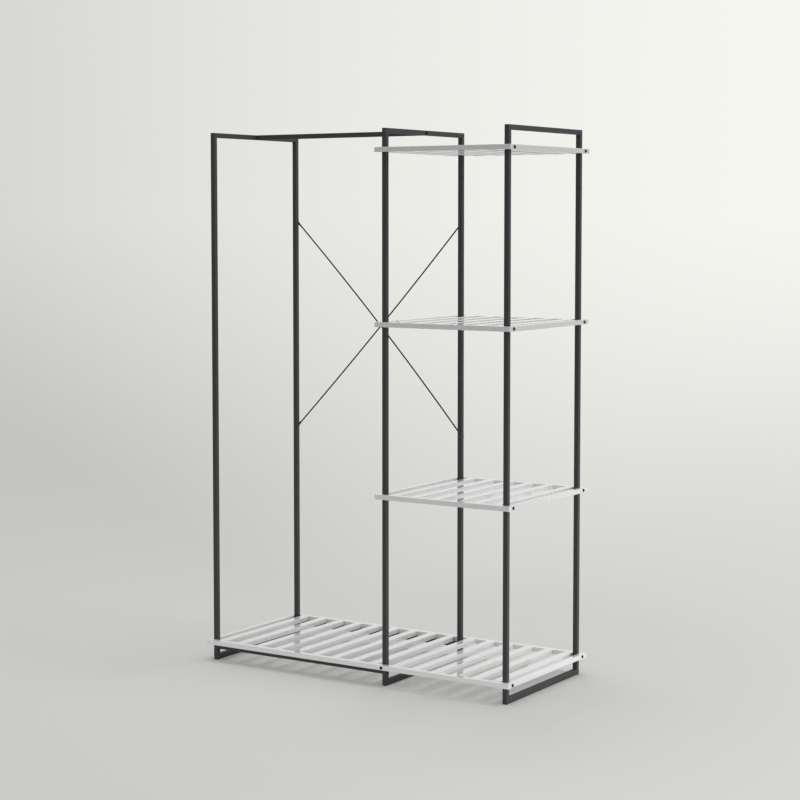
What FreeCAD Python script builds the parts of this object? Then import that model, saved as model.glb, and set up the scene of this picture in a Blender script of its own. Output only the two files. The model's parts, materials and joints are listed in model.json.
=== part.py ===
import FreeCAD, Part
import os
import re

import Sketcher

# Open frame wardrobe: three closed frames of dark square tube stand side by side.
# White slatted shelves are bolted to them from outside, a hanging rail and two low stretchers
# join the wide bay, and two bowed rods brace it from behind.
# X runs along the width, Y from front to rear and Z up. The origin lies on the floor,
# in the middle of everything that the wardrobe covers. All sizes are in millimetres.
SIZES = {
    # Square tube of the frames, the hanging rail and the stretchers
    "tube_side": 16.4,
    "tube_wall": 1.5,
    "tube_corner": 1.2,
    # The three frames and the two bays between them
    "frame_depth": 501.4,
    "frame_height": 1859.0,
    "wide_bay": 698.6,
    "narrow_bay": 446.6,
    "base_bar_height": 18.0,
    # Low stretchers of the wide bay
    "stretcher_underside": 39.6,
    # Glides pressed into the open lower ends of the posts
    "glide_height": 1.5,
    "glide_plug_length": 12.0,
    "plug_play": 0.1,
    # Slatted shelves
    "shelf_underside": 56.0,
    "shelf_pitch": 574.0,
    "top_headroom": 63.0,
    "shelf_thickness": 16.4,
    "side_rail_width": 16.5,
    "long_rail_depth": 19.5,
    "slat_width": 30.0,
    "wide_bay_slats": 9,
    "narrow_bay_slats": 6,
    "outer_slat_gap": 8.8,
    "inner_slat_gap": 18.3,
    "eased_edge": 0.8,
    # Stub tenons that hold slats and side rails in the long rails
    "tenon_width": 10.0,
    "tenon_thickness": 6.0,
    "tenon_length": 8.0,
    "mortise_play": 0.2,
    # Button-head bolts, the nuts welded inside the posts and the threaded plugs of the rails
    "bolt_diameter": 6.0,
    "bolt_hole": 6.4,
    "bolt_head_diameter": 10.6,
    "bolt_head_height": 3.3,
    "bolt_head_chamfer": 2.2,
    "socket_across": 4.0,
    "socket_depth": 2.0,
    "nut_side": 10.0,
    "nut_height": 5.0,
    "nut_bore": 6.1,
    "bolt_tip": 1.5,
    "rail_plug_length": 20.0,
    "rail_plug_grip": 14.0,
    # Cross brace behind the wide bay: low bolts measured from the floor, high ones down from the frame's top
    "brace_low": 790.0,
    "brace_high": 309.0,
    "rod_diameter": 5.0,
    "rod_bow": 17.0,
    "rod_gap": 0.3,
    "eye_diameter": 14.0,
    "eye_thickness": 3.0,
    "eye_overlap": 1.6,
}

# Lengths that follow from the driving sizes
OVERALL_WIDTH = "(3 * tube_side + wide_bay + narrow_bay)"
POST_SPAN = "(frame_depth - tube_side)"
SHELF_LOW = {
    "bottom": "shelf_underside",
    "lower": "(shelf_underside + shelf_pitch)",
    "middle": "(shelf_underside + 2 * shelf_pitch)",
    "top": "(frame_height - top_headroom - shelf_thickness)",
}
SHELF_MIDDLE = f"({SHELF_LOW['bottom']} + shelf_thickness / 2)"
BRACE_TOP = "(frame_height - brace_high)"
BRACE_RISE = f"({BRACE_TOP} - brace_low)"
STRETCHER_MIDDLE = "(stretcher_underside + tube_side / 2)"
FRONT_REACH = "(long_rail_depth + bolt_head_height)"
REAR_REACH = f"max({FRONT_REACH}; 2 * rod_diameter + rod_bow + rod_gap)"
FRONT = f"(-(frame_depth + {REAR_REACH} - {FRONT_REACH}) / 2)"
REAR = f"({FRONT} + frame_depth)"
FRAME_LEFT = {
    "left": f"(-{OVERALL_WIDTH} / 2)",
    "middle": f"(-{OVERALL_WIDTH} / 2 + tube_side + wide_bay)",
    "right": f"({OVERALL_WIDTH} / 2 - tube_side)",
}
BORE_SIDE = "(tube_side - 2 * tube_wall)"
WIDE_PITCH = "((wide_bay - outer_slat_gap - inner_slat_gap - slat_width) / (wide_bay_slats - 1))"
NARROW_PITCH = "((narrow_bay - outer_slat_gap - inner_slat_gap - slat_width) / (narrow_bay_slats - 1))"

X_AXIS = FreeCAD.Vector(1, 0, 0)
Y_AXIS = FreeCAD.Vector(0, 1, 0)
Z_AXIS = FreeCAD.Vector(0, 0, 1)
# Turns that lay a piece drawn along Z down along Y or X
ALONG_Y = FreeCAD.Rotation(X_AXIS, -90)
ALONG_X = FreeCAD.Rotation(Y_AXIS, 90)
# Turns that point a bolt's head outwards, with the local Y axis kept upright
FACING = {
    "right": FreeCAD.Rotation(Y_AXIS, Z_AXIS, X_AXIS, "ZXY"),
    "left": FreeCAD.Rotation(-Y_AXIS, Z_AXIS, -X_AXIS, "ZXY"),
    "front": FreeCAD.Rotation(X_AXIS, Z_AXIS, -Y_AXIS, "ZXY"),
    "rear": FreeCAD.Rotation(-X_AXIS, Z_AXIS, Y_AXIS, "ZXY"),
}

doc = FreeCAD.newDocument("open_frame_wardrobe")
sheet = doc.addObject("Spreadsheet::Sheet", "Sizes")
for row, (alias, size) in enumerate(SIZES.items(), start=1):
    sheet.set(f"A{row}", str(size))
    sheet.setAlias(f"A{row}", alias)
doc.recompute()
bodies = []


def sized(text):
    """Point every size name in an expression at its cell."""
    return re.sub(r"\b[a-z_]+\b", lambda word: "Sizes." + word[0] if word[0] in SIZES else word[0], text)


def measure(text):
    """Value of an expression, as a plain number."""
    return float(sheet.evalExpression(sized(text)))


def new_body(label):
    body = doc.addObject("PartDesign::Body", label)
    body.Label = label
    body.AllowCompound = True
    bodies.append(body)
    return body


def place(body, x, y, z, turn=FreeCAD.Rotation()):
    body.Placement = FreeCAD.Placement(FreeCAD.Vector(), turn)
    for axis, text in zip("xyz", (x, y, z)):
        body.setExpression(f"Placement.Base.{axis}", sized(text))


def origin_feature(body, role):
    return next(feature for feature in body.Origin.OriginFeatures if feature.Role == role)


def new_sketch(body, role, lift=None):
    sketch = body.newObject("Sketcher::SketchObject", f"{body.Label}_sketch")
    sketch.AttachmentSupport = [(origin_feature(body, role), "")]
    sketch.MapMode = "FlatFace"
    if lift:
        sketch.setExpression("AttachmentOffset.Base.z", sized(lift))
    return sketch


def dimension(sketch, kind, geometry, text):
    index = sketch.addConstraint(Sketcher.Constraint(kind, *geometry, measure(text)))
    sketch.setExpression(f"Constraints[{index}]", sized(text))


def outline(sketch, points):
    """Closed outline of straight lines whose corners are dimensioned from the sketch's origin."""
    corners = [FreeCAD.Vector(measure(x), measure(y), 0) for x, y in points]
    first = sketch.GeometryCount
    count = len(corners)
    for index in range(count):
        sketch.addGeometry(Part.LineSegment(corners[index], corners[(index + 1) % count]), False)
    for index, (x, y) in enumerate(points):
        here = first + index
        following = first + (index + 1) % count
        sketch.addConstraint(Sketcher.Constraint("Coincident", here, 2, following, 1))
        dimension(sketch, "DistanceX", (-1, 1, here, 1), x)
        dimension(sketch, "DistanceY", (-1, 1, here, 1), y)


def rectangle(sketch, left, low, width, height):
    right = f"{left} + {width}"
    high = f"{low} + {height}"
    outline(sketch, [(left, low), (right, low), (right, high), (left, high)])


def centred_rectangle(sketch, width, height, x="0", y="0"):
    rectangle(sketch, f"{x} - ({width}) / 2", f"{y} - ({height}) / 2", width, height)


def circle(sketch, x, y, diameter):
    centre = FreeCAD.Vector(measure(x), measure(y), 0)
    index = sketch.addGeometry(Part.Circle(centre, Z_AXIS, measure(diameter) / 2), False)
    dimension(sketch, "DistanceX", (-1, 1, index, 3), x)
    dimension(sketch, "DistanceY", (-1, 1, index, 3), y)
    dimension(sketch, "Diameter", (index,), diameter)


def add_feature(body, kind, sketch, length, side="One side", backwards=False):
    """Pad or pocket of a sketch, through everything where no length is given."""
    feature = body.newObject(f"PartDesign::{kind}", f"{body.Label}_{kind}")
    feature.Profile = sketch
    feature.SideType = side
    feature.Reversed = backwards
    if length:
        feature.setExpression("Length", sized(length))
    else:
        feature.Type = "ThroughAll"
    doc.recompute()
    return feature


def pad(body, sketch, length, **options):
    return add_feature(body, "Pad", sketch, length, **options)


def pocket(body, sketch, length=None, **options):
    """Cut that has to take material away."""
    before = body.Shape.Volume
    feature = add_feature(body, "Pocket", sketch, length, **options)
    if body.Shape.Volume > before - 1:
        raise ValueError(f"a cut in {body.Label} misses the piece")
    return feature


def dress_edges(body, kind, size, chosen):
    """Fillet or chamfer the edges of the shape so far that the test picks."""
    base = body.Tip
    names = [f"Edge{number}" for number, edge in enumerate(base.Shape.Edges, start=1) if chosen(edge)]
    feature = body.newObject(f"PartDesign::{kind}", f"{body.Label}_{kind}")
    feature.Base = (base, names)
    feature.setExpression({"Fillet": "Radius", "Chamfer": "Size"}[kind], sized(size))
    doc.recompute()


def runs_along(axis):
    """Test for straight edges along an axis."""
    def test(edge):
        return len(edge.Vertexes) == 2 and abs(edge.tangentAt(edge.FirstParameter).dot(axis)) > 0.999

    return test


def repeat(body, axis, spacing, count, originals=None):
    """Repeat the whole body, or some cuts of it, in an even row along an axis."""
    pattern = body.newObject("PartDesign::LinearPattern", f"{body.Label}_Pattern")
    if originals:
        pattern.Originals = originals
    else:
        pattern.TransformMode = "Whole shape"
    pattern.Direction = (origin_feature(body, axis), [""])
    pattern.Mode = "Spacing"
    pattern.setExpression("Offset", sized(spacing))
    pattern.setExpression("Occurrences", sized(count))
    body.Tip = pattern
    doc.recompute()


def tube(label, width, height, length):
    """Hollow tube along Z with small outer corner radii, centred on its axis."""
    body = new_body(label)
    section = new_sketch(body, "XY_Plane")
    centred_rectangle(section, width, height)
    pad(body, section, length)
    dress_edges(body, "Fillet", "tube_corner", runs_along(Z_AXIS))
    bore = new_sketch(body, "XY_Plane")
    centred_rectangle(bore, f"({width}) - 2 * tube_wall", f"({height}) - 2 * tube_wall")
    pocket(body, bore, side="Symmetric")
    return body


def mitre(body, inward, end, back):
    """Cut a tube's end at 45 degrees: the tip stays on the outer side, away from the inward side."""
    cut = new_sketch(body, "YZ_Plane")
    outer = f"{-inward} * tube_side / 2"
    inner = f"{inward} * tube_side / 2"
    outline(cut, [(outer, end), (inner, end), (inner, f"{end} + {back} * tube_side")])
    pocket(body, cut, side="Symmetric")


def drill(body, plane, holes, diameter="bolt_hole", **options):
    """Round holes at (across, along) places, square to a plane through the tube's axis."""
    sketch = new_sketch(body, plane)
    for across, along in holes:
        circle(sketch, across, along, diameter)
    pocket(body, sketch, **options)


def post(frame, end):
    """Upright of a frame, mitred at the top and drilled for the bolts that it takes."""
    body = tube(f"{frame}_frame_{end}_post", "tube_side", "tube_side", "frame_height - glide_height")
    mitre(body, 1 if end == "front" else -1, "frame_height - glide_height", -1)
    half = "tube_side / 2"
    shelf_heights = [f"{low} + shelf_thickness / 2 - glide_height" for low in SHELF_LOW.values()]
    shelf_holes = {"left": shelf_heights[:1], "middle": shelf_heights[1:], "right": shelf_heights}[frame]
    outward = frame == "right"
    drill(body, "YZ_Plane", [("0", height) for height in shelf_holes], length=half, backwards=outward)
    if frame != "right":
        drill(body, "YZ_Plane", [("0", f"{STRETCHER_MIDDLE} - glide_height")], side="Symmetric")
    if frame == "middle":
        drill(body, "XZ_Plane", [("0", shelf_heights[0])], length=half, backwards=end == "front")
    if frame != "right" and end == "rear":
        brace_heights = ("brace_low - glide_height", f"{BRACE_TOP} - glide_height")
        drill(body, "XZ_Plane", [("0", height) for height in brace_heights], length=half)
    depth = f"{FRONT} + tube_side / 2" if end == "front" else f"{REAR} - tube_side / 2"
    place(body, f"{FRAME_LEFT[frame]} + tube_side / 2", depth, "glide_height")


def top_bar(frame):
    """Upper bar of a frame, mitred into both posts."""
    body = tube(f"{frame}_frame_top_bar", "tube_side", "tube_side", "frame_depth")
    mitre(body, 1, "0", 1)
    mitre(body, 1, "frame_depth", -1)
    if frame != "right":
        drill(body, "YZ_Plane", [("0", "frame_depth / 2")], side="Symmetric")
    place(body, f"{FRAME_LEFT[frame]} + tube_side / 2", FRONT, "frame_height - tube_side / 2", ALONG_Y)


def base_bar(frame):
    """Floor bar of a frame, butted between its posts."""
    body = tube(f"{frame}_frame_base_bar", "tube_side", "base_bar_height", "frame_depth - 2 * tube_side")
    x = f"{FRAME_LEFT[frame]} + tube_side / 2"
    place(body, x, f"{FRONT} + tube_side", "glide_height + base_bar_height / 2", ALONG_Y)


def bay_tube(label, y, z):
    """Tube across the wide bay, butted between the left and the middle frame."""
    body = tube(label, "tube_side", "tube_side", "wide_bay")
    place(body, f"{FRAME_LEFT['left']} + tube_side", y, z, ALONG_X)


def end_plugs(label, rows, z):
    """Threaded plugs pressed into both ends of the tubes across the wide bay, one tube in each row."""
    body = new_body(label)
    section = new_sketch(body, "YZ_Plane")
    for y in rows:
        centred_rectangle(section, f"{BORE_SIDE} - plug_play", f"{BORE_SIDE} - plug_play", x=y)
        circle(section, y, "0", "nut_bore")
    pad(body, section, "rail_plug_length")
    repeat(body, "X_Axis", "wide_bay - rail_plug_length", "2")
    place(body, f"{FRAME_LEFT['left']} + tube_side", "0", z)


def foot_glides():
    """Glides under the six posts: a thin foot the size of the tube and a plug in its bore."""
    body = new_body("foot_glides")
    centres = [f"{FRAME_LEFT[frame]} + tube_side / 2" for frame in ("left", "middle", "right")]
    feet = new_sketch(body, "XY_Plane")
    for centre in centres:
        centred_rectangle(feet, "tube_side", "tube_side", x=centre)
    pad(body, feet, "glide_height")
    dress_edges(body, "Fillet", "tube_corner", runs_along(Z_AXIS))
    plugs = new_sketch(body, "XY_Plane")
    for centre in centres:
        centred_rectangle(plugs, f"{BORE_SIDE} - plug_play", f"{BORE_SIDE} - plug_play", x=centre)
    pad(body, plugs, "glide_height + glide_plug_length")
    repeat(body, "Y_Axis", POST_SPAN, "2")
    place(body, "0", f"{FRONT} + tube_side / 2", "0")


def long_rail(label, end, length, slat_rows, middle_hole=None):
    """Front or rear rail of a shelf, with a mortise for each slat and side rail on its inner face."""
    front = end == "front"
    body = new_body(label)
    section = new_sketch(body, "XY_Plane")
    rectangle(section, "0", "-long_rail_depth" if front else "0", length, "long_rail_depth")
    pad(body, section, "shelf_thickness")
    dress_edges(body, "Chamfer", "eased_edge", runs_along(X_AXIS))
    width = "tenon_width + mortise_play"
    height = "tenon_thickness + mortise_play"
    depth = "tenon_length + mortise_play"
    corners = new_sketch(body, "XZ_Plane")
    for centre in ("side_rail_width / 2", f"{length} - side_rail_width / 2"):
        centred_rectangle(corners, width, height, x=centre, y="shelf_thickness / 2")
    pocket(body, corners, depth, backwards=front)
    for first_slat, pitch, count in slat_rows:
        mortise = new_sketch(body, "XZ_Plane")
        centre = f"{first_slat} + slat_width / 2"
        centred_rectangle(mortise, width, height, x=centre, y="shelf_thickness / 2")
        cut = pocket(body, mortise, depth, backwards=front)
        repeat(body, "X_Axis", pitch, count, originals=[cut])
    if middle_hole:
        drill(body, "XZ_Plane", [(middle_hole, "shelf_thickness / 2")], side="Symmetric")
    return body


def cross_piece(label, width):
    """Slat or side rail: a bar from the front to the rear rail with a stub tenon on each end."""
    body = new_body(label)
    section = new_sketch(body, "XZ_Plane")
    rectangle(section, "0", "0", width, "shelf_thickness")
    pad(body, section, "frame_depth", side="Symmetric")
    dress_edges(body, "Chamfer", "eased_edge", runs_along(Y_AXIS))
    tenon = new_sketch(body, "XZ_Plane")
    centred_rectangle(tenon, "tenon_width", "tenon_thickness", x=f"{width} / 2", y="shelf_thickness / 2")
    pad(body, tenon, "frame_depth + 2 * tenon_length", side="Symmetric")
    return body


def shelf(name):
    """One slatted shelf. The bottom one runs under both bays, the others span the narrow bay."""
    bottom = name == "bottom"
    label = f"{name}_shelf"
    low = SHELF_LOW[name]
    depth_middle = f"{FRONT} + frame_depth / 2"
    start_frame = FRAME_LEFT["left" if bottom else "middle"]
    start = f"({start_frame} - side_rail_width)"
    length = f"({OVERALL_WIDTH} / 2 + side_rail_width - {start})"
    wide_start = f"({FRAME_LEFT['left']} + tube_side + outer_slat_gap)"
    narrow_start = f"({FRAME_LEFT['middle']} + tube_side + inner_slat_gap)"
    rows = {"slats": (narrow_start, NARROW_PITCH, "narrow_bay_slats")}
    if bottom:
        rows["wide_bay_slats"] = (wide_start, WIDE_PITCH, "wide_bay_slats")

    mortises = [(f"{first} - {start}", pitch, count) for first, pitch, count in rows.values()]
    hole = f"{FRAME_LEFT['middle']} + tube_side / 2 - {start}" if bottom else None
    for end, y in (("front", FRONT), ("rear", REAR)):
        rail = long_rail(f"{label}_{end}_rail", end, length, mortises, hole)
        place(rail, start, y, low)
    for end, x in (("left", start), ("right", f"{OVERALL_WIDTH} / 2")):
        rail = cross_piece(f"{label}_{end}_rail", "side_rail_width")
        post_centres = (f"-{POST_SPAN} / 2", f"{POST_SPAN} / 2")
        drill(rail, "YZ_Plane", [(y, "shelf_thickness / 2") for y in post_centres], side="Symmetric")
        place(rail, x, depth_middle, low)
    for suffix, (first, pitch, count) in rows.items():
        slats = cross_piece(f"{label}_{suffix}", "slat_width")
        repeat(slats, "X_Axis", pitch, count)
        place(slats, first, depth_middle, low)


def bolts(label, facing, seat, length, rises=("0",), spread=None):
    """Button-head bolts pointing out of one face, one at each rise above the seat, or two set apart."""
    body = new_body(label)
    heads = new_sketch(body, "XY_Plane")
    for rise in rises:
        circle(heads, "0", rise, "bolt_head_diameter")
    pad(body, heads, "bolt_head_height")
    top = measure("bolt_head_height")
    dress_edges(body, "Chamfer", "bolt_head_chamfer", lambda edge: abs(edge.BoundBox.ZMin - top) < 0.001)
    shanks = new_sketch(body, "XY_Plane")
    for rise in rises:
        circle(shanks, "0", rise, "bolt_diameter")
    pad(body, shanks, length, backwards=True)
    sockets = new_sketch(body, "XY_Plane", lift="bolt_head_height")
    turns = [60 * corner for corner in range(6)]
    radius = "socket_across / sqrt(3)"
    for rise in rises:
        corners = [(f"{radius} * cos({turn} deg)", f"{rise} + {radius} * sin({turn} deg)") for turn in turns]
        outline(sockets, corners)
    pocket(body, sockets, "socket_depth")
    if spread:
        repeat(body, "X_Axis", spread, "2")
    place(body, *seat, FACING[facing])


def nuts(label, facing, seat, rises=("0",), spread=None):
    """Square nuts welded against the inside of the tube walls that the bolts go through."""
    body = new_body(label)
    section = new_sketch(body, "XY_Plane")
    for rise in rises:
        centred_rectangle(section, "nut_side", "nut_side", y=rise)
        circle(section, "0", rise, "nut_bore")
    pad(body, section, "nut_height", backwards=True)
    if spread:
        repeat(body, "X_Axis", spread, "2")
    place(body, *seat, FACING[facing])


def bolted(name, facing, face, clamped, **group):
    """Bolts and their welded nuts: the face is the tube's outer side, under a clamped thickness."""
    outward = {"right": (1, 0), "left": (-1, 0), "front": (0, -1), "rear": (0, 1)}[facing]
    x, y, z = face

    def shifted(distance):
        return f"{x} + {outward[0]} * ({distance})", f"{y} + {outward[1]} * ({distance})", z

    length = f"({clamped}) + tube_wall + nut_height + bolt_tip"
    bolts(f"{name}_bolts", facing, shifted(clamped), length, **group)
    nuts(f"{name}_nuts", facing, shifted("-tube_wall"), **group)


def shelf_fasteners():
    """Bolts of the side rails in the posts, and of the long bottom rails in the middle frame."""
    rises = [f"{low} - {SHELF_LOW['bottom']}" for low in SHELF_LOW.values()]
    front_post = f"{FRONT} + tube_side / 2"
    rear_post = f"{REAR} - tube_side / 2"
    sides = {
        "right": ("right", f"{OVERALL_WIDTH} / 2", front_post, rises),
        "middle": ("left", FRAME_LEFT["middle"], rear_post, rises[1:]),
        "left": ("left", FRAME_LEFT["left"], rear_post, rises[:1]),
    }
    for frame, (facing, x, first_post, levels) in sides.items():
        face = (x, first_post, SHELF_MIDDLE)
        bolted(f"{frame}_frame_shelf", facing, face, "side_rail_width", rises=levels, spread=POST_SPAN)
    post_middle = f"{FRAME_LEFT['middle']} + tube_side / 2"
    for end, y in (("front", FRONT), ("rear", REAR)):
        bolted(f"{end}_rail_middle", end, (post_middle, y, SHELF_MIDDLE), "long_rail_depth")


def bay_fasteners():
    """Bolts through both walls of a tube into the threaded plugs of the hanging rail and stretchers."""
    length = "tube_side + rail_plug_grip"
    middle = f"{FRONT} + frame_depth / 2"
    rail_height = "frame_height - tube_side / 2"
    right_face = f"{FRAME_LEFT['middle']} + tube_side"
    places = {
        "left": (FRAME_LEFT["left"], f"{REAR} - tube_side / 2"),
        "right": (right_face, f"{FRONT} + tube_side / 2"),
    }
    for side, (x, first_post) in places.items():
        bolts(f"{side}_stretcher_bolts", side, (x, first_post, STRETCHER_MIDDLE), length, spread=POST_SPAN)
        bolts(f"{side}_hanging_rail_bolt", side, (x, middle, rail_height), length)


def brace_rod(label, bow, rise):
    """Round rod bent to a shallow bow, with a flat drilled eye at each end that lies on a post."""
    body = new_body(label)
    half_span = f"(sqrt((wide_bay + tube_side) ^ 2 + {BRACE_RISE} ^ 2) / 2)"
    bend = f"((({half_span}) ^ 2 + ({bow}) ^ 2) / (2 * ({bow})))"
    crown = f"rod_diameter / 2 + {bow}"
    eye_side = "(eye_diameter / 2 - eye_overlap)"

    section = new_sketch(body, "YZ_Plane")
    circle(section, crown, "0", "rod_diameter")
    centre = measure(f"{crown} - {bend}")
    foot = FreeCAD.Vector(centre, -1, 0)
    axis = section.addGeometry(Part.LineSegment(foot, foot + 2 * Y_AXIS), True)
    section.addConstraint(Sketcher.Constraint("Vertical", axis))
    dimension(section, "DistanceX", (-1, 1, axis, 1), f"{crown} - {bend}")
    rod = body.newObject("PartDesign::Revolution", f"{label}_Revolution")
    rod.Profile = section
    rod.ReferenceAxis = (section, ["Axis0"])
    rod.Midplane = True
    rod.setExpression("Angle", sized(f"2 * asin(({half_span} - {eye_side}) / {bend})"))
    doc.recompute()

    eyes = new_sketch(body, "XZ_Plane")
    for x in (f"-{half_span}", half_span):
        circle(eyes, x, "0", "eye_diameter")
        circle(eyes, x, "0", "bolt_hole")
    pad(body, eyes, "eye_thickness", backwards=True)

    x = f"{FRAME_LEFT['left']} + (2 * tube_side + wide_bay) / 2"
    place(body, x, REAR, f"brace_low + {BRACE_RISE} / 2", FreeCAD.Rotation(Y_AXIS, -rise))
    slope = f"{-rise} * atan({BRACE_RISE} / (wide_bay + tube_side))"
    body.setExpression("Placement.Rotation.Angle", sized(slope))


def brace():
    brace_rod("brace_rod_rising", "rod_bow", 1)
    brace_rod("brace_rod_falling", "(rod_bow + rod_diameter + rod_gap)", -1)
    face = (f"{FRAME_LEFT['middle']} + tube_side / 2", REAR, "brace_low")
    bolted("brace", "rear", face, "eye_thickness", rises=("0", BRACE_RISE), spread="wide_bay + tube_side")


def check(body):
    """Stop if a piece or one of its features failed to build."""
    for feature in [body, *body.Group]:
        if {"Invalid", "Error"} & set(feature.State):
            raise ValueError(f"{feature.Label} failed: {feature.State}")
    if body.Shape.isNull() or not body.Shape.isValid() or not body.Shape.Solids:
        raise ValueError(f"{body.Label} has no valid solid")


for frame_name in FRAME_LEFT:
    post(frame_name, "front")
    post(frame_name, "rear")
    top_bar(frame_name)
    base_bar(frame_name)
foot_glides()

rail_row = f"{FRONT} + frame_depth / 2"
front_row = f"{FRONT} + tube_side / 2"
rear_row = f"{REAR} - tube_side / 2"
rail_height = "frame_height - tube_side / 2"
bay_tube("hanging_rail", rail_row, rail_height)
bay_tube("front_stretcher", front_row, STRETCHER_MIDDLE)
bay_tube("rear_stretcher", rear_row, STRETCHER_MIDDLE)
end_plugs("hanging_rail_plugs", [rail_row], rail_height)
end_plugs("stretcher_plugs", [front_row, rear_row], STRETCHER_MIDDLE)
bay_fasteners()

for shelf_name in SHELF_LOW:
    shelf(shelf_name)
shelf_fasteners()
brace()

doc.recompute()
for piece in bodies:
    check(piece)
os.makedirs("parts", exist_ok=True)
for piece in bodies:
    piece.Shape.exportStep(f"parts/{piece.Label}.step")
print(f"{len(bodies)} nodes, {sum(len(piece.Shape.Solids) for piece in bodies)} solids")
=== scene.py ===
# %% [markdown]
# # An open frame wardrobe
# Three closed frames of dark square tube stand side by side. White slatted shelves are bolted to
# them, a rail for hangers joins the tops of the wide bay, and two thin rods brace it from behind.
# The exact solids come in as a fixed frame. This lesson dresses them: it adds the small round
# pieces that need a finer mesh, gives every surface its finish, and lights the whole like a studio.

# %% Load the frame
import json
import math

import bmesh
import bpy
from mathutils import Matrix, Vector

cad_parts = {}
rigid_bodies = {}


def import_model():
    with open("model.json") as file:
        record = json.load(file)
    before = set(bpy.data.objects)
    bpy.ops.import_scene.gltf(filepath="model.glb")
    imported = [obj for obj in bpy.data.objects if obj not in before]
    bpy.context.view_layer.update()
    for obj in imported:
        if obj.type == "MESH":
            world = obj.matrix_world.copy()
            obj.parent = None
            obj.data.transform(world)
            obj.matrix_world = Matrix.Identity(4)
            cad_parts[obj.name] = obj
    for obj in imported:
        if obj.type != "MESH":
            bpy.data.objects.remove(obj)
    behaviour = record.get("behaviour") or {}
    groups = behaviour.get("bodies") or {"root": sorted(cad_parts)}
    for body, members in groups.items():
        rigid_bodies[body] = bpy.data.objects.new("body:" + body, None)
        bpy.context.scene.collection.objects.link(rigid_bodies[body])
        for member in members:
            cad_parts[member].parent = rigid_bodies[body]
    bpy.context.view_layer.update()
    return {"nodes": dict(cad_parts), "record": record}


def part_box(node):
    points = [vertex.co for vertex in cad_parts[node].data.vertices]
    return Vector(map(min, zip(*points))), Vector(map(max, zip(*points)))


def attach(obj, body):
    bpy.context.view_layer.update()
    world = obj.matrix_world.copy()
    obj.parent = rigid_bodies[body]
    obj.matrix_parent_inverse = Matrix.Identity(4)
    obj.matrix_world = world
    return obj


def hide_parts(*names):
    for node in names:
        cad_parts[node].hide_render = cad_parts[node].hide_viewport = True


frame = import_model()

scene = bpy.context.scene
nodes = frame["nodes"]
slot_of = {part["node"]: part["material_slot"] for part in frame["record"]["subparts"]}


def rounded(values, digits=2):
    return [round(value, digits) for value in values]


# %% [markdown]
# ## The camera
# The wardrobe is seen from its right front corner, a little below eye level, through a long lens
# that keeps its uprights nearly parallel. A small downward pitch and a small lens shift share the
# work of centring it: a larger shift would make the uprights exactly parallel, but it would push
# the wardrobe out of the picture from every other side.

# %% Camera
CAMERA_PLACE = (3.618, -5.576, 1.565)
CAMERA_TURN = math.radians(32.79)
CAMERA_PITCH = math.radians(3.99)
LENS = 86.76
LENS_SHIFT = -0.06

camera_data = bpy.data.cameras.new("camera")
camera_data.lens = LENS
camera_data.shift_y = LENS_SHIFT
camera = bpy.data.objects.new("camera", camera_data)
camera.location = CAMERA_PLACE
camera.rotation_euler = (math.pi / 2 - CAMERA_PITCH, 0, CAMERA_TURN)
scene.collection.objects.link(camera)
scene.camera = camera
print("camera", round(camera.location.length, 2), "m from the middle of the floor")

# %% [markdown]
# ## Small helpers for shader nodes
# A material is a graph of nodes. A few short helpers keep the cells below readable. They add a
# node, fill its sockets, do sums and start a group. A socket takes either another node's output,
# which is linked, or a plain value, which is typed in. Nothing here is special to a finish.

# %% Node helpers
def feed(tree, target, source):
    """Link an output to an input, or type a plain value into it."""
    if isinstance(source, bpy.types.NodeSocket):
        tree.links.new(source, target)
    else:
        target.default_value = source


def fill_sockets(tree, node, **sockets):
    """Feed inputs by name, with underscores for spaces."""
    for name, source in sockets.items():
        feed(tree, node.inputs[name.replace("_", " ")], source)


def add_node(tree, kind, settings=None, **sockets):
    """Add a node, set its properties and feed its inputs."""
    node = tree.nodes.new(kind)
    for name, value in (settings or {}).items():
        setattr(node, name, value)
    fill_sockets(tree, node, **sockets)
    return node


def calculate(tree, operation, *values):
    """Result of a Math node, whose values are outputs or plain numbers."""
    node = add_node(tree, "ShaderNodeMath", {"operation": operation})
    for target, source in zip(node.inputs, values):
        feed(tree, target, source)
    return node.outputs[0]


# %% Group helper
FLOAT = "NodeSocketFloat"
COLOUR = "NodeSocketColor"
VECTOR = "NodeSocketVector"


def new_group(name, inputs, outputs):
    """Empty shader node group with named sockets: name -> (socket type, default value)."""
    group = bpy.data.node_groups.new(name, "ShaderNodeTree")
    for socket, (kind, default) in inputs.items():
        made = group.interface.new_socket(socket, in_out="INPUT", socket_type=kind)
        if default is not None:
            made.default_value = default
    for socket, kind in outputs.items():
        group.interface.new_socket(socket, in_out="OUTPUT", socket_type=kind)
    return group, group.nodes.new("NodeGroupInput"), group.nodes.new("NodeGroupOutput")


# %% [markdown]
# ## Sprayed skin
# Powder coat, lacquer and moulded plastic all have a fine skin: a cloudy change of tone over some
# centimetres, and a pebbled relief below a millimetre. A bitmap would do it, but noise on Object
# coordinates needs no unwrapping and keeps its scale on every piece, so one group serves them all.
# The clouds swing around their middle value, so that they change a tone without shifting it.

# %% Group: sprayed skin
NOISE_MIDDLE = 0.5

skin_inputs = {
    "Vector": (VECTOR, None),
    "Colour": (COLOUR, (0.5, 0.5, 0.5, 1)),
    "Cloud Scale": (FLOAT, 12.0),
    "Cloud Depth": (FLOAT, 0.1),
    "Pebble Scale": (FLOAT, 900.0),
    "Roughness": (FLOAT, 0.5),
    "Roughness Spread": (FLOAT, 0.08),
}
skin_outputs = {"Colour": COLOUR, "Roughness": FLOAT, "Height": FLOAT}
sprayed_skin, skin_in, skin_out = new_group("sprayed_skin", skin_inputs, skin_outputs)
given = skin_in.outputs

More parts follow.
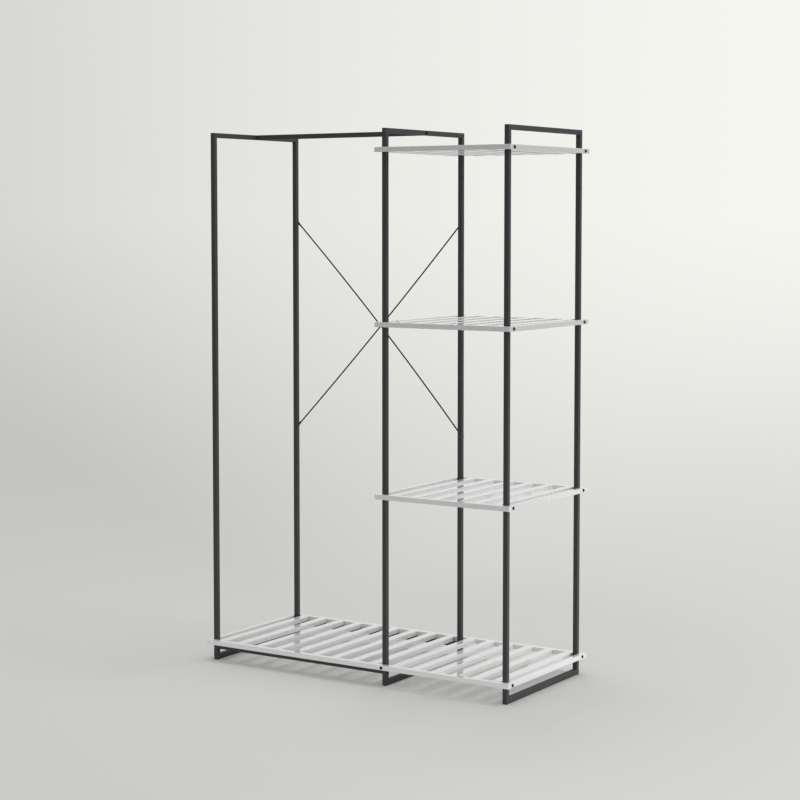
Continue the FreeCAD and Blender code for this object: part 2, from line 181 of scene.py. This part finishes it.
clouds = add_node(sprayed_skin, "ShaderNodeTexNoise", Vector=given["Vector"],
                  Scale=given["Cloud Scale"], Detail=3.0)
pebbles = add_node(sprayed_skin, "ShaderNodeTexNoise", Vector=given["Vector"],
                   Scale=given["Pebble Scale"], Detail=1.0)
swing = calculate(sprayed_skin, "SUBTRACT", clouds.outputs["Fac"], NOISE_MIDDLE)
tone = calculate(sprayed_skin, "MULTIPLY_ADD", swing, given["Cloud Depth"], 1.0)
sheen = calculate(sprayed_skin, "MULTIPLY_ADD", swing, given["Roughness Spread"], given["Roughness"])
tinted = add_node(sprayed_skin, "ShaderNodeVectorMath", {"operation": "SCALE"},
                  Vector=given["Colour"], Scale=tone)
fill_sockets(sprayed_skin, skin_out, Colour=tinted.outputs[0], Roughness=sheen,
             Height=pebbles.outputs["Fac"])
print("group", sprayed_skin.name, "with", len(sprayed_skin.nodes), "nodes")

# %% [markdown]
# ## One recipe for the sprayed finishes
# Each finish is the same short chain: coordinates, the skin group, a bump and a Principled BSDF.
# The shader itself stays in the material. What is the same all over a surface, such as the
# metallic share, is typed into the shader's own sockets.

# %% Recipe: sprayed material
RELIEF_DEPTH = 0.0004


def sprayed_material(name, colour, skin, bump, stretch=(1, 1, 1), **shader_sockets):
    """Material whose colour, roughness and relief come from the sprayed skin group."""
    material = bpy.data.materials.new(name)
    material.use_nodes = True
    tree = material.node_tree
    place = add_node(tree, "ShaderNodeTexCoord").outputs["Object"]
    mapped = add_node(tree, "ShaderNodeMapping", Vector=place, Scale=stretch).outputs["Vector"]
    group = add_node(tree, "ShaderNodeGroup", {"node_tree": sprayed_skin}, Vector=mapped,
                     Colour=(*colour, 1), **skin)
    relief = add_node(tree, "ShaderNodeBump", Height=group.outputs["Height"], Strength=bump,
                      Distance=RELIEF_DEPTH)
    fill_sockets(tree, tree.nodes["Principled BSDF"], Base_Color=group.outputs["Colour"],
                 Roughness=group.outputs["Roughness"], Normal=relief.outputs["Normal"],
                 **shader_sockets)
    return material


# %% [markdown]
# ## Dark finishes
# The frames wear a charcoal powder coat with a fine matt grain. The rods have a smoother coat that
# is nearly black. Bolts are black oxide, which is steel that has been turned black, so they keep
# some metal in their gloss. The glides are moulded plastic, and the parts that are sealed inside
# the tubes are plain zinc.

# %% Materials: dark finishes
finishes = {
    "frame_paint": sprayed_material(
        "charcoal_powder_coat", (0.0365, 0.0363, 0.042),
        {"Cloud_Scale": 9.0, "Cloud_Depth": 0.16, "Pebble_Scale": 1100.0, "Roughness": 0.62,
         "Roughness_Spread": 0.12}, bump=0.25, Specular_IOR_Level=0.46),
    "brace_paint": sprayed_material(
        "charcoal_rod_coat", (0.008, 0.008, 0.009),
        {"Cloud_Scale": 14.0, "Cloud_Depth": 0.16, "Pebble_Scale": 1400.0, "Roughness": 0.6,
         "Roughness_Spread": 0.1}, bump=0.2, Specular_IOR_Level=0.1),
    "black_bolts": sprayed_material(
        "black_oxide", (0.005, 0.005, 0.005),
        {"Cloud_Scale": 160.0, "Cloud_Depth": 0.4, "Pebble_Scale": 2600.0, "Roughness": 0.48,
         "Roughness_Spread": 0.2}, bump=0.2, Metallic=0.4, Specular_IOR_Level=0.25),
    "glide_plastic": sprayed_material(
        "moulded_black_plastic", (0.02, 0.02, 0.02),
        {"Cloud_Scale": 40.0, "Cloud_Depth": 0.2, "Pebble_Scale": 1800.0, "Roughness": 0.6,
         "Roughness_Spread": 0.1}, bump=0.4),
    "plated_steel": sprayed_material(
        "zinc_plate", (0.55, 0.55, 0.54),
        {"Cloud_Scale": 120.0, "Cloud_Depth": 0.3, "Pebble_Scale": 1500.0, "Roughness": 0.35,
         "Roughness_Spread": 0.2}, bump=0.2, Metallic=1.0),
}
print("dark finishes:", ", ".join(finishes))

# %% [markdown]
# ## White lacquer
# The shelves are wood under a white lacquer with a glossy clear top coat, in which the posts are
# mirrored. The colour covers, but the grain still shows as faint long streaks and as a trace of
# relief, and it runs along each bar. Noise gives that when it is stretched along the bar, so slats
# and side rails, which run front to back, get one mapping, and the long rails another. The top coat
# is the same all over, so its numbers sit on the shader's own coat sockets.

# %% Materials: white lacquer
LACQUER = (0.8, 0.8, 0.81)
GRAIN = {"Cloud_Scale": 60.0, "Cloud_Depth": 0.05, "Pebble_Scale": 420.0, "Roughness": 0.09,
         "Roughness_Spread": 0.05}
GRAIN_RELIEF = 0.012
GRAIN_STRETCH = 0.06
TOP_COAT = {"Coat_Weight": 0.6, "Coat_Roughness": 0.05, "Coat_IOR": 1.5}


def white_lacquer(run, stretch):
    return sprayed_material(f"white_lacquer_{run}", LACQUER, GRAIN, GRAIN_RELIEF, stretch, **TOP_COAT)


lacquer_front_to_back = white_lacquer("front_to_back", (1, GRAIN_STRETCH, 1))
lacquer_left_to_right = white_lacquer("left_to_right", (GRAIN_STRETCH, 1, 1))
print("lacquers:", lacquer_front_to_back.name, "and", lacquer_left_to_right.name)

# %% [markdown]
# ## Dressing the frame
# Every piece of the frame names a slot, which says what it is made of. The slot picks the finish, so
# a piece that is added to the frame later is dressed as well. Only the white bars need a second
# look, because their grain depends on the way that they run.

# %% Dress the frame's pieces
LONG_RAILS = ("front_rail", "rear_rail")


def finish_for(node):
    """Finish of a frame piece: the shelves' bars follow their grain, the rest follow their slot."""
    if slot_of[node] != "white_lacquer":
        return finishes[slot_of[node]]
    return lacquer_left_to_right if node.endswith(LONG_RAILS) else lacquer_front_to_back


for name, piece in nodes.items():
    piece.data.materials.clear()
    piece.data.materials.append(finish_for(name))
print(len(nodes), "pieces dressed")

# %% [markdown]
# ## Putting a finished piece in place
# Every new piece ends the same way: its bmesh becomes a mesh, faces are shaded smooth with sharp
# creases kept, and the frame piece that it stands for is hidden, but stays in the simulation.

# %% Finished piece
SHARP_ANGLE = math.radians(32)


def finished_piece(name, shape, slot, replaced):
    """Mesh object from a bmesh, in the finish of a slot, that stands for a frame piece."""
    bmesh.ops.recalc_face_normals(shape, faces=shape.faces)
    mesh = bpy.data.meshes.new(name)
    shape.to_mesh(mesh)
    shape.free()
    mesh.shade_smooth()
    mesh.set_sharp_from_angle(angle=SHARP_ANGLE)
    mesh.materials.append(finishes[slot])
    piece = bpy.data.objects.new(name, mesh)
    scene.collection.objects.link(piece)
    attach(piece, "root")
    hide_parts(replaced)
    print(name, "has", len(mesh.polygons), "faces")


# %% [markdown]
# ## Button-head bolts
# The shelves are held by M6 bolts with a low round head and a six-sided socket. A head like this is
# turned on a lathe, so its outline is drawn once and spun round the bolt's axis. The socket isn't
# round: six-sided edges are bridged to the ring at the top of the head, then pushed down and drawn
# together to the cone that a drill leaves.

# %% Outline of a bolt
MM = 0.001
HEAD_RADIUS = 5.3 * MM
HEAD_HEIGHT = 3.3 * MM
HEAD_RIM = 0.5 * MM
SHANK_RADIUS = 3.0 * MM
SHANK_CHAMFER = 0.8 * MM
SOCKET_LAND = 2.75 * MM
DOME_STEPS = 7


def bolt_outline(shank_length):
    """Half section of a bolt, from the tip of the shank to the flat land round the socket."""
    points = [
        (0, -shank_length),
        (SHANK_RADIUS - SHANK_CHAMFER, -shank_length),
        (SHANK_RADIUS, SHANK_CHAMFER - shank_length),
        (SHANK_RADIUS, 0),
        (HEAD_RADIUS - HEAD_RIM / 2, 0),
        (HEAD_RADIUS, HEAD_RIM / 2),
    ]
    for step in range(DOME_STEPS + 1):
        turn = math.pi / 2 * step / DOME_STEPS
        across = SOCKET_LAND + (HEAD_RADIUS - SOCKET_LAND) * math.cos(turn)
        points.append((across, HEAD_RIM + (HEAD_HEIGHT - HEAD_RIM) * math.sin(turn)))
    return points


print("bolt head", rounded((2 * HEAD_RADIUS / MM, HEAD_HEIGHT / MM)), "mm across and high")

# %% Push a loop of edges
def push_loop(shape, loop, offset):
    """Extrude a loop of edges by an offset, and return the edges and vertices of its new place."""
    made = bmesh.ops.extrude_edge_only(shape, edges=loop)["geom"]
    verts = [item for item in made if isinstance(item, bmesh.types.BMVert)]
    bmesh.ops.translate(shape, verts=verts, vec=offset)
    edges = [item for item in made if isinstance(item, bmesh.types.BMEdge)]
    return [edge for edge in edges if all(vert in verts for vert in edge.verts)], verts


# %% Bolt by spin and bridge
SOCKET_SIDES = 6
SOCKET_WIDTH = 4.0 * MM
SOCKET_RADIUS = SOCKET_WIDTH / math.sqrt(3)
SOCKET_DEPTH = 2.0 * MM
SOCKET_CONE = 0.6 * MM
TURN_STEPS = 36
WELD = 0.001 * MM


def bolt(shank_length):
    """One bolt along Z with its seat at the origin and its head above."""
    shape = bmesh.new()
    verts = [shape.verts.new((across, 0, up)) for across, up in bolt_outline(shank_length)]
    edges = [shape.edges.new(pair) for pair in zip(verts, verts[1:])]
    bmesh.ops.spin(shape, geom=verts + edges, cent=(0, 0, 0), axis=(0, 0, 1), angle=math.tau,
                   steps=TURN_STEPS, use_merge=True)
    bmesh.ops.remove_doubles(shape, verts=shape.verts, dist=WELD)
    ring = [edge for edge in shape.edges if edge.is_boundary]
    hexagon = bmesh.ops.create_circle(shape, segments=SOCKET_SIDES, radius=SOCKET_RADIUS)["verts"]
    bmesh.ops.translate(shape, verts=hexagon, vec=(0, 0, HEAD_HEIGHT))
    sides = list({edge for vert in hexagon for edge in vert.link_edges})
    bmesh.ops.subdivide_edges(shape, edges=sides, cuts=TURN_STEPS // SOCKET_SIDES - 1)
    mouth = [edge for edge in shape.edges if edge.is_wire]
    bmesh.ops.bridge_loops(shape, edges=ring + mouth)
    socket_floor, _ = push_loop(shape, mouth, (0, 0, SOCKET_CONE - SOCKET_DEPTH))
    _, tip = push_loop(shape, socket_floor, (0, 0, -SOCKET_CONE))
    bmesh.ops.pointmerge(shape, verts=tip, merge_co=(0, 0, HEAD_HEIGHT - SOCKET_DEPTH))
    return shape


# %% [markdown]
# ## Where the bolts go
# Bolts that share a face of the wardrobe make one piece. The box of the frame's own bolts says where
# that face is and how long the shanks are, and the middles of the shelves say at which heights the
# others sit. A bolt is turned from Z to its direction, and all copies are gathered in one mesh.

# %% Faces and heights of the bolts
SHELVES = ("bottom", "lower", "middle", "top")
OUTWARD = {
    "right": Vector((1, 0, 0)),
    "left": Vector((-1, 0, 0)),
    "front": Vector((0, -1, 0)),
    "rear": Vector((0, 1, 0)),
}
bolt_faces = {
    "right_frame_shelf_bolts": "right",
    "middle_frame_shelf_bolts": "left",
    "left_frame_shelf_bolts": "left",
    "front_rail_middle_bolts": "front",
    "rear_rail_middle_bolts": "rear",
    "left_stretcher_bolts": "left",
    "right_stretcher_bolts": "right",
    "left_hanging_rail_bolt": "left",
    "right_hanging_rail_bolt": "right",
    "brace_bolts": "rear",
}


def middle_height(node):
    low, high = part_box(node)
    return (low[2] + high[2]) / 2


shelf_levels = [middle_height(f"{shelf}_shelf_front_rail") for shelf in SHELVES]
print("shelves at", rounded(shelf_levels, 3), "m")


# %% Spots and copies
def spots(low, high, levels=()):
    """Middles of the first and last head between two limits, with the levels in between."""
    ends = [low + HEAD_RADIUS, high - HEAD_RADIUS]
    inside = [level for level in levels if ends[0] + HEAD_RADIUS < level < ends[1] - HEAD_RADIUS]
    return ends[:1] + inside + (ends[1:] if ends[1] - ends[0] > HEAD_RADIUS else [])


def copies(shape, moves):
    """One bmesh with a copy of a shape for each move. The shape itself is used up."""
    single = bpy.data.meshes.new("single")
    shape.to_mesh(single)
    shape.free()
    group = bmesh.new()
    for move in moves:
        first = len(group.verts)
        group.from_mesh(single)
        group.verts.ensure_lookup_table()
        bmesh.ops.transform(group, matrix=move, verts=group.verts[first:])
    bpy.data.meshes.remove(single)
    return group


# %% Bolt groups
def bolt_group(node, face):
    """All bolts of a frame piece as one mesh."""
    low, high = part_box(node)
    out = OUTWARD[face]
    along = 0 if out.x else 1
    across = 1 - along
    seat = high[along] - HEAD_HEIGHT if out[along] > 0 else low[along] + HEAD_HEIGHT
    turn = out.to_track_quat("Z", "Y").to_matrix().to_4x4()
    levels = shelf_levels if "shelf" in node else ()
    moves = []
    for side in spots(low[across], high[across]):
        for up in spots(low[2], high[2], levels):
            place = Vector((0, 0, up))
            place[along] = seat
            place[across] = side
            moves.append(Matrix.Translation(place) @ turn)
    shank_length = high[along] - low[along] - HEAD_HEIGHT
    finished_piece(f"button_head_{node}", copies(bolt(shank_length), moves), "black_bolts", node)


for bolt_node, bolt_face in bolt_faces.items():
    bolt_group(bolt_node, bolt_face)

# %% [markdown]
# ## Eyes of the brace rods
# Two rods cross behind the wide bay and keep it square. Each end is hammered flat to a round eye
# and drilled for its bolt. An eye is two circles, bridged to a washer and extruded. A few of its
# side faces are then left open towards the rod, so that the rod's end can be bridged to them.

# %% Flat circle
def flat_circle(shape, radius, sides, turn):
    """Circle of edges in the plane that a turn makes of XY, with the middle of an edge on each axis."""
    verts = bmesh.ops.create_circle(shape, segments=sides, radius=radius)["verts"]
    spin = turn @ Matrix.Rotation(math.pi / sides, 3, "Z")
    bmesh.ops.rotate(shape, verts=verts, cent=(0, 0, 0), matrix=spin)
    return verts, list({edge for vert in verts for edge in vert.link_edges})


# %% Eye of a rod
EYE_RADIUS = 7.0 * MM
EYE_THICKNESS = 3.0 * MM
EYE_HOLE = 3.2 * MM
EYE_SIDES = 32
OPEN_SIDES = 7
SIDE_FACE_LIMIT = 0.5


def eye(shape, centre, inward):
    """Drilled washer whose side faces towards the rod are left open. Inward is -1 or 1 along X."""
    lying = Matrix.Rotation(math.pi / 2, 3, "X")
    outer, outer_loop = flat_circle(shape, EYE_RADIUS, EYE_SIDES, lying)
    inner, inner_loop = flat_circle(shape, EYE_HOLE, EYE_SIDES, lying)
    loops = outer_loop + inner_loop
    washer = bmesh.ops.bridge_loops(shape, edges=loops)["faces"]
    made = bmesh.ops.extrude_face_region(shape, geom=washer + loops, use_keep_orig=True)
    raised = [item for item in made["geom"] if isinstance(item, bmesh.types.BMVert)]
    bmesh.ops.translate(shape, verts=raised, vec=(0, EYE_THICKNESS, 0))
    verts = outer + inner + raised
    bmesh.ops.translate(shape, verts=verts, vec=centre)

    reach = EYE_RADIUS * math.cos(math.pi * OPEN_SIDES / EYE_SIDES)
    faces = {face for vert in verts for face in vert.link_faces}
    sides = [face for face in faces if abs(face.normal.y) < SIDE_FACE_LIMIT]
    opened = [face for face in sides
              if inward * (face.calc_center_median().x - centre[0]) > reach]
    bmesh.ops.delete(shape, geom=opened, context="FACES")


print("eye", rounded((2 * EYE_RADIUS / MM, 2 * EYE_HOLE / MM)), "mm across and in its hole")

# %% [markdown]
# ## Bowed brace rods
# Each rod is a round bar, sprung into a shallow bow so that the two pass each other. The bow is an
# arc, so a circle is spun about a far centre. Bridging each end to its eye gives the flattened neck
# in one skin, and a small bevel breaks the edges of the drilled holes.

# %% Brace rod by spin and bridge
ROD_RADIUS = 2.5 * MM
ROD_SIDES = 16
BOW_STEPS = 60
NECK = 15.0 * MM


def straight_rod(half, bow):
    """Rod along X with an eye at each end and its bow towards +Y."""
    bend = (half ** 2 + bow ** 2) / (2 * bow)
    crown = ROD_RADIUS + bow
    turn = math.asin((half - EYE_RADIUS - NECK) / bend)
    centre = Vector((0, crown - bend, 0))
    shape = bmesh.new()
    ring, loop = flat_circle(shape, ROD_RADIUS, ROD_SIDES, Matrix.Rotation(math.pi / 2, 3, "Y"))
    bmesh.ops.translate(shape, verts=ring, vec=(0, crown, 0))
    bmesh.ops.rotate(shape, verts=ring, cent=centre, matrix=Matrix.Rotation(turn, 3, "Z"))
    bmesh.ops.spin(shape, geom=ring + loop, cent=centre, axis=(0, 0, 1), angle=-2 * turn,
                   steps=BOW_STEPS)
    bmesh.ops.remove_doubles(shape, verts=shape.verts, dist=WELD)
    for side in (-1, 1):
        eye(shape, (side * half, 0, 0), -side)
    for side in (-1, 1):
        ends = [edge for edge in shape.edges if edge.is_boundary and side * edge.verts[0].co.x > 0]
        bmesh.ops.bridge_loops(shape, edges=ends)
    bmesh.ops.recalc_face_normals(shape, faces=shape.faces)
    return shape


# %% Break the edges of the holes
EYE_BEVEL = 0.4 * MM
BEVEL_STEPS = 2
ROUND_PROFILE = 0.5
BEVEL_REACH = 1.2 * EYE_HOLE
CREASE = math.radians(60)


def break_hole_edges(shape, half):
    """Bevel the edges of the holes in the eyes at both ends."""
    def by_hole(vert):
        return math.hypot(abs(vert.co.x) - half, vert.co.z) < BEVEL_REACH

    holes = [edge for edge in shape.edges
             if edge.calc_face_angle(0) > CREASE and all(by_hole(vert) for vert in edge.verts)]
    bmesh.ops.bevel(shape, geom=holes, offset=EYE_BEVEL, offset_type="OFFSET", segments=BEVEL_STEPS,
                    profile=ROUND_PROFILE, affect="EDGES", material=-1)


# %% [markdown]
# ## Rods in their places
# Each rod is made lying along X, where its bow and its eyes are easy to describe. It is then tilted
# and moved into the box of the frame's own rod, so that its eyes meet their bolts. The count of open
# edges shows whether its skin is closed.

# %% Rods in their places
def rod(node, slope):
    """Bowed rod in a frame piece's box, rising to the right for a slope of 1, falling for -1."""
    low, high = (Vector(corner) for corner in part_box(node))
    reach = (high - low) / 2 - Vector((EYE_RADIUS, 0, EYE_RADIUS))
    half = math.hypot(reach.x, reach.z)
    bow = high.y - low.y - 2 * ROD_RADIUS
    shape = straight_rod(half, bow)
    break_hole_edges(shape, half)
    place = Vector(((low.x + high.x) / 2, low.y, (low.z + high.z) / 2))
    tilt = Matrix.Rotation(-slope * math.atan2(reach.z, reach.x), 4, "Y")
    bmesh.ops.transform(shape, matrix=Matrix.Translation(place) @ tilt, verts=shape.verts)
    open_edges = sum(not edge.is_manifold for edge in shape.edges)
    print(node, "spans", round(2 * half, 4), "m, bow", round(bow, 4), "m, open edges", open_edges)
    finished_piece(node.replace("brace", "bowed"), shape, "brace_paint", node)


rod("brace_rod_rising", 1)
rod("brace_rod_falling", -1)

# %% [markdown]
# ## Backdrop tones
# The studio is one seamless pale sweep, brighter on the side that the light comes from. A real
# photographer gets that with the falloff of a lamp. Here the tone is a function of the direction
# seen from the wardrobe, kept in a group, because the floor and the world both fade into it.

# %% Group: backdrop tone
TOWARDS_RIGHT = (math.cos(CAMERA_TURN), math.sin(CAMERA_TURN), 0.0)
DIM_SIDE = (0.572, 0.577, 0.549, 1)
BRIGHT_SIDE = (0.919, 0.929, 0.882, 1)
DIM_REACH = 0.36
BRIGHT_REACH = 0.26
TONE_CURVE = 0.65
SMOOTH = {"interpolation_type": "SMOOTHSTEP"}
COLOUR_MIX = {"data_type": "RGBA"}

tone_sockets = {"Vector": (VECTOR, None)}
backdrop_tone, tone_in, tone_out = new_group("backdrop_tone", tone_sockets, {"Colour": COLOUR})
direction = add_node(backdrop_tone, "ShaderNodeVectorMath", {"operation": "NORMALIZE"},
                     Vector=tone_in.outputs["Vector"])
sideways = add_node(backdrop_tone, "ShaderNodeVectorMath", {"operation": "DOT_PRODUCT"})
feed(backdrop_tone, sideways.inputs[0], direction.outputs[0])
feed(backdrop_tone, sideways.inputs[1], TOWARDS_RIGHT)
share = add_node(backdrop_tone, "ShaderNodeMapRange", SMOOTH, Value=sideways.outputs["Value"],
                 From_Min=-DIM_REACH, From_Max=BRIGHT_REACH)
curved = calculate(backdrop_tone, "POWER", share.outputs["Result"], TONE_CURVE)
blend = add_node(backdrop_tone, "ShaderNodeMix", COLOUR_MIX, Factor=curved, A=DIM_SIDE, B=BRIGHT_SIDE)
fill_sockets(backdrop_tone, tone_out, Colour=blend.outputs["Result"])
tone_span = math.degrees(math.asin(DIM_REACH) + math.asin(BRIGHT_REACH))
print("group", backdrop_tone.name, "spans", round(tone_span, 1), "degrees")

# %% [markdown]
# ## What the camera sees
# The backdrop may be as pale as the picture needs only if it doesn't light the wardrobe. The Light
# Path node tells rays apart: camera, glossy and transmission rays see the backdrop, and all others
# see the even studio fill. Both the floor and the world mix two shaders by that test.

# %% Rays that see the backdrop
def seeing_rays(tree):
    """1 for camera, glossy and transmission rays, 0 for the rays that carry light."""
    path = add_node(tree, "ShaderNodeLightPath").outputs
    mirrored = calculate(tree, "MAXIMUM", path["Is Glossy Ray"], path["Is Transmission Ray"])
    return calculate(tree, "MAXIMUM", path["Is Camera Ray"], mirrored)


def backdrop_colour(tree, place):
    group = add_node(tree, "ShaderNodeGroup", {"node_tree": backdrop_tone}, Vector=place)
    return group.outputs["Colour"]


def mix_shaders(tree, share, first, second):
    mixed = add_node(tree, "ShaderNodeMixShader", Fac=share)
    feed(tree, mixed.inputs[1], first.outputs[0])
    feed(tree, mixed.inputs[2], second.outputs[0])
    return mixed.outputs[0]


# %% [markdown]
# ## Floor
# The floor is a wide disc that takes the shadows. A plane with a curved sweep behind it would need a
# different sweep for every view, so the disc simply reaches far enough to meet the backdrop.

# %% Floor disc
FLOOR_REACH = 900.0
FLOOR_SIDES = 96

floor_mesh = bpy.data.meshes.new("floor")
disc = bmesh.new()
bmesh.ops.create_circle(disc, cap_ends=True, segments=FLOOR_SIDES, radius=FLOOR_REACH)
disc.to_mesh(floor_mesh)
disc.free()
floor = bpy.data.objects.new("floor", floor_mesh)
scene.collection.objects.link(floor)
print("floor reaches", FLOOR_REACH, "m")

# %% [markdown]
# ## Floor paint
# The paint is pale and matt. For the rays that carry light, a pool of light is painted into its
# colour: they see a bright floor close by that darkens to black with distance, like the pool under
# a real lamp, so that only this painted pool throws light back up. The camera sees an even paint,
# which with distance gives way to the backdrop tone, so that no horizon shows.

# %% Paint and a painted pool of bounced light
FLOOR_PAINT = (0.768, 0.774, 0.735, 1)
FLOOR_ROUGHNESS = 0.9
# Colour of the pool of light that is painted into the floor for the rays that carry light.
PAINTED_POOL_COLOUR = (0.9, 0.9, 0.87, 1)
PAINTED_POOL_NEAR = 0.7
PAINTED_POOL_FAR = 3.8
BLACK = (0, 0, 0, 1)

floor_paint = bpy.data.materials.new("studio_floor")
floor_paint.use_nodes = True
floor_mesh.materials.append(floor_paint)
floor_tree = floor_paint.node_tree
floor_place = add_node(floor_tree, "ShaderNodeTexCoord").outputs["Object"]
from_middle = add_node(floor_tree, "ShaderNodeVectorMath", {"operation": "LENGTH"},
                       Vector=floor_place).outputs["Value"]
seeing = seeing_rays(floor_tree)
# Painted pool of light: for the rays that carry light the floor is bright near the wardrobe and darkens
# to black far away.
painted_pool_share = add_node(floor_tree, "ShaderNodeMapRange", SMOOTH, Value=from_middle, From_Min=PAINTED_POOL_FAR,
                From_Max=PAINTED_POOL_NEAR)
painted_pool_mix = add_node(floor_tree, "ShaderNodeMix", COLOUR_MIX, Factor=painted_pool_share.outputs["Result"], A=BLACK,
                  B=PAINTED_POOL_COLOUR)
paint_and_painted_pool = add_node(floor_tree, "ShaderNodeMix", COLOUR_MIX, Factor=seeing, A=painted_pool_mix.outputs["Result"],
                 B=FLOOR_PAINT)
matt = floor_tree.nodes["Principled BSDF"]
fill_sockets(floor_tree, matt, Base_Color=paint_and_painted_pool.outputs["Result"], Roughness=FLOOR_ROUGHNESS,
             Specular_IOR_Level=0.0)
print("floor throws light back up to", PAINTED_POOL_FAR, "m")

# %% Fade into the backdrop
FADE_START = 1.2
FADE_LENGTH = 4.3

past_start = calculate(floor_tree, "SUBTRACT", from_middle, FADE_START)
beyond = calculate(floor_tree, "MAXIMUM", past_start, 0.0)
fade = calculate(floor_tree, "DIVIDE", beyond, calculate(floor_tree, "ADD", beyond, FADE_LENGTH))
seen_fade = calculate(floor_tree, "MULTIPLY", fade, seeing)
far = add_node(floor_tree, "ShaderNodeEmission", Color=backdrop_colour(floor_tree, floor_place))
fill_sockets(floor_tree, floor_tree.nodes["Material Output"],
             Surface=mix_shaders(floor_tree, seen_fade, matt, far))
print("floor is half backdrop at", FADE_START + FADE_LENGTH, "m")

# %% [markdown]
# ## World
# The world is the studio's ceiling and walls. Its fill is stronger overhead than at the horizon, as
# it is under a ceiling of diffusers, and rays that see it get the backdrop tone. A panorama picture
# could light it too, but a ramp from the horizon to the zenith needs no file.

# %% World
HORIZON_FILL = 0.62
ZENITH_FILL = 0.70
WHITE = (1, 1, 1, 1)

world = bpy.data.worlds.new("studio")
scene.world = world
world.use_nodes = True
world_tree = world.node_tree
ray = add_node(world_tree, "ShaderNodeTexCoord").outputs["Generated"]
upward = add_node(world_tree, "ShaderNodeSeparateXYZ", Vector=ray).outputs["Z"]
strength = add_node(world_tree, "ShaderNodeMapRange", Value=upward, To_Min=HORIZON_FILL,
                    To_Max=ZENITH_FILL)
ceiling = world_tree.nodes["Background"]
fill_sockets(world_tree, ceiling, Color=WHITE, Strength=strength.outputs["Result"])
backdrop = add_node(world_tree, "ShaderNodeBackground", Color=backdrop_colour(world_tree, ray))
fill_sockets(world_tree, world_tree.nodes["World Output"],
             Surface=mix_shaders(world_tree, seeing_rays(world_tree), ceiling, backdrop))
print("world fill from", HORIZON_FILL, "to", ZENITH_FILL)

# %% [markdown]
# ## Lamps
# Two soft lamps share the main light, one high on the right and one overhead, both a touch behind
# the wardrobe. One alone can't do it. The right one draws the slats' shadows under the narrow bay,
# whose shelves block light from above. The overhead one draws them under the wide bay, which those
# shelves shade from the right. Front faces stay in their own shade. A weak lamp, low and near on the
# right, lifts the edges of the lower shelves.

# %% Lamps
LAMPS = {
    "high_right": dict(towards=(0.69, 0.1, 0.71), distance=4.3, width=0.8, height=0.8, power=23.0,
                       aim=(0.2, 0.15, 0.8)),
    "overhead": dict(towards=(0.0, 0.1, 0.99), distance=4.3, width=0.6, height=0.9, power=23.0,
                     aim=(-0.1, 0.15, 0.8)),
    "low_right": dict(towards=(1.0, 0.25, 0.0), distance=1.0, width=0.9, height=0.4, power=2.7,
                      aim=(0.3, 0, 0.36)),
}


def soft_lamp(name, towards, distance, width, height, power, aim):
    """Rectangular lamp at a distance from the point that it faces."""
    data = bpy.data.lights.new(name, "AREA")
    data.shape = "RECTANGLE"
    data.size = width
    data.size_y = height
    data.energy = power
    lamp = bpy.data.objects.new(name, data)
    outward = Vector(towards).normalized()
    lamp.location = Vector(aim) + distance * outward
    lamp.rotation_euler = outward.to_track_quat("Z", "Y").to_euler()
    lamp.visible_camera = False
    scene.collection.objects.link(lamp)
    print("lamp", name, "at", rounded(lamp.location))
    return lamp


lamps = {lamp_name: soft_lamp(lamp_name, **settings) for lamp_name, settings in LAMPS.items()}

# %% [markdown]
# ## A lamp for the wardrobe alone
# The low lamp stands so near that it would leave a hot spot on the floor. A photographer would flag
# it off with a card. Light linking does the same: the lamp is given a collection of the pieces that
# it may shine on, and the floor isn't among them.

# %% Light linking
wardrobe_only = bpy.data.collections.new("lit_by_low_right")
for piece in scene.objects:
    if piece.type == "MESH" and piece != floor:
        wardrobe_only.objects.link(piece)
lamps["low_right"].light_linking.receiver_collection = wardrobe_only

# %% [markdown]
# ## Colours
# The Standard view transform shows the lit colours as they are, so that they can be compared with
# a photograph. Finishes and small pieces must not make it larger.

# %% Colours
scene.view_settings.view_transform = "Standard"
